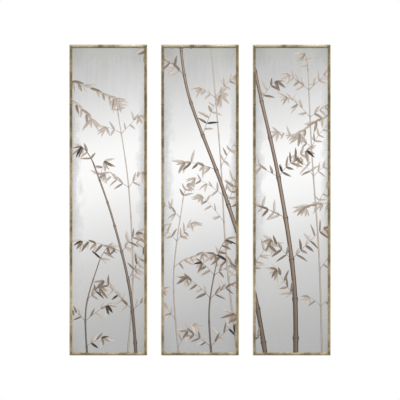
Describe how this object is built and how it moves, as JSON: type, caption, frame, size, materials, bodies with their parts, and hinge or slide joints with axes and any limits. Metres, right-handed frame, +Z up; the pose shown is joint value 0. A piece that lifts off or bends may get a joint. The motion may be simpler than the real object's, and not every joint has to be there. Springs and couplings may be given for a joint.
{
  "type": "wall-hung triptych mirror",
  "caption": "Tall narrow antiqued mirror panels in slim half-round gilded frames, hung side by side on interlocking wall bars, each lifting off by itself.",
  "frame": {"origin": "on the wall plane, midway between the two screw holes of the centre wall bar", "axes": "+X to the viewer's right, +Y into the wall, +Z up; the mirrors face -Y"},
  "size_m": [1.281, 0.028, 1.524],
  "materials": {
    "gilded_moulding": "antique gold leaf over wood, burnished and toned",
    "antiqued_mirror": "antiqued silver, hazed and streaked towards the edges",
    "painted_design": "matt paint brushed on the face of the glass, taupe, tan and umber",
    "foam_tape": "white double-sided foam tape",
    "backing_board": "bare medium-density fibreboard",
    "zinc_steel": "plain zinc-plated strip steel",
    "aluminium_bar": "mill-finish extrusion",
    "yellow_zinc_screw": "yellow zinc plating",
    "rubber_bumper": "matt black rubber"
  },
  "bodies": {
    "wall_bars": {"left_wall_bar": "aluminium_bar", "centre_wall_bar": "aluminium_bar", "right_wall_bar": "aluminium_bar"},
    "left_panel": {"left_panel_top_rail": "gilded_moulding", "left_panel_bottom_rail": "gilded_moulding", "left_panel_left_stile": "gilded_moulding", "left_panel_right_stile": "gilded_moulding", "left_panel_mirror_glass": "antiqued_mirror", "left_panel_foam_tape": "foam_tape", "left_panel_backing_board": "backing_board", "left_panel_glazing_points": "zinc_steel", "left_panel_corner_v_nails": "zinc_steel", "left_panel_hanging_bar": "aluminium_bar", "left_panel_hanging_bar_screws": "yellow_zinc_screw", "left_panel_bumpers": "rubber_bumper"},
    "centre_panel": {"centre_panel_top_rail": "gilded_moulding", "centre_panel_bottom_rail": "gilded_moulding", "centre_panel_left_stile": "gilded_moulding", "centre_panel_right_stile": "gilded_moulding", "centre_panel_mirror_glass": "antiqued_mirror", "centre_panel_foam_tape": "foam_tape", "centre_panel_backing_board": "backing_board", "centre_panel_glazing_points": "zinc_steel", "centre_panel_corner_v_nails": "zinc_steel", "centre_panel_hanging_bar": "aluminium_bar", "centre_panel_hanging_bar_screws": "yellow_zinc_screw", "centre_panel_bumpers": "rubber_bumper"},
    "right_panel": {"right_panel_top_rail": "gilded_moulding", "right_panel_bottom_rail": "gilded_moulding", "right_panel_left_stile": "gilded_moulding", "right_panel_right_stile": "gilded_moulding", "right_panel_mirror_glass": "antiqued_mirror", "right_panel_foam_tape": "foam_tape", "right_panel_backing_board": "backing_board", "right_panel_glazing_points": "zinc_steel", "right_panel_corner_v_nails": "zinc_steel", "right_panel_hanging_bar": "aluminium_bar", "right_panel_hanging_bar_screws": "yellow_zinc_screw", "right_panel_bumpers": "rubber_bumper"}
  },
  "joints": [
    {"name": "left_panel_lift", "type": "slide", "parent": "wall_bars", "child": "left_panel", "axis": [0, 0, 1], "range_m": [0, 0.015]},
    {"name": "centre_panel_lift", "type": "slide", "parent": "wall_bars", "child": "centre_panel", "axis": [0, 0, 1], "range_m": [0, 0.015]},
    {"name": "right_panel_lift", "type": "slide", "parent": "wall_bars", "child": "right_panel", "axis": [0, 0, 1], "range_m": [0, 0.015]}
  ]
}
